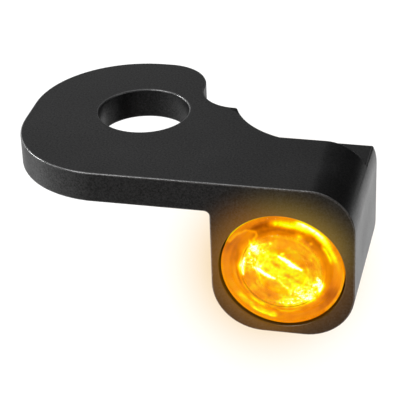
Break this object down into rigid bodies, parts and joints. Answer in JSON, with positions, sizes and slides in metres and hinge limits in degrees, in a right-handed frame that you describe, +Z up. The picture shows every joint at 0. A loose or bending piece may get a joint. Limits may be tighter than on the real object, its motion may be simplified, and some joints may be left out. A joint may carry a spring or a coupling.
{
  "type": "turn signal indicator",
  "caption": "Compact round LED turn signal in a one-piece aluminium clamp bracket with a mirror-stem hole and a rounded lamp block below the plate.",
  "frame": {"origin": "on the plate's top clamping face, on the flat ring a stem washer covers, 7.5 mm in front of the stem hole's axis", "axes": "+Z up out of the clamping face, -Y the way the lamp shines, +X outboard from the stem hole to the lamp block"},
  "size_m": [0.0401, 0.0321, 0.0285],
  "materials": {
    "black_anodised_aluminium": "fine bead-blasted, black anodised, thin bright edge breaks",
    "clear_lens": "polished clear polycarbonate, lit amber from behind",
    "silicone": "matte silicone",
    "cup_aluminium": "turned, dark anodised",
    "black_rubber": "matte nitrile rubber",
    "metallised_reflector": "vacuum metallised plastic",
    "clear_optic": "clear moulded acrylic with crystal facets, lit amber",
    "board_white": "white solder mask",
    "amber_led": "amber light-emitting diode, lit",
    "component_ceramic": "surface-mount ceramic, black film",
    "component_epoxy": "moulded epoxy",
    "potting_resin": "poured black resin",
    "zinc_steel": "zinc plated",
    "cable_pvc": "extruded black PVC",
    "wire_red": "red wire insulation",
    "wire_black": "black wire insulation",
    "tinned_brass": "bright brass bullet",
    "clear_vinyl": "translucent vinyl"
  },
  "bodies": {
    "bracket": {"bracket_body": "black_anodised_aluminium", "cable_sheath": "cable_pvc", "wire_live": "wire_red", "wire_earth": "wire_black", "terminal_live": "tinned_brass", "terminal_earth": "tinned_brass", "terminal_sleeve_live": "clear_vinyl", "terminal_sleeve_earth": "clear_vinyl"},
    "lamp": {"lens_cover": "clear_lens", "lens_seal_ring": "silicone", "lamp_cup": "cup_aluminium", "bore_o_ring": "black_rubber", "reflector_bowl": "metallised_reflector", "crystal_optic": "clear_optic", "projector_dome": "clear_optic", "led_board": "board_white", "led_chip_left": "amber_led", "led_chip_centre": "amber_led", "led_chip_right": "amber_led", "series_resistor_left": "component_ceramic", "series_resistor_right": "component_ceramic", "polarity_diode": "component_epoxy", "driver_chip": "component_epoxy", "potting_plug": "potting_resin", "stud_grommet": "black_rubber"},
    "washer": {"lock_washer": "zinc_steel"},
    "nut": {"stud_nut": "zinc_steel"}
  },
  "joints": [
    {"name": "lamp_roll", "type": "hinge", "parent": "bracket", "child": "lamp", "pos_m": [0.0189, 0, -0.0105], "axis": [0, 1, 0], "range_deg": [-90, 90]},
    {"name": "washer_slide", "type": "slide", "parent": "lamp", "child": "washer", "axis": [0, 1, 0], "range_m": [0, 0.0015]},
    {"name": "nut_spin", "type": "hinge", "parent": "washer", "child": "nut", "pos_m": [0.0189, 0, -0.0105], "axis": [0, 1, 0], "range_deg": [0, 540]}
  ],
  "couplings": [
    {"joint": "nut_spin", "follows": "washer_slide", "rad_per_m": 6283.2}
  ]
}
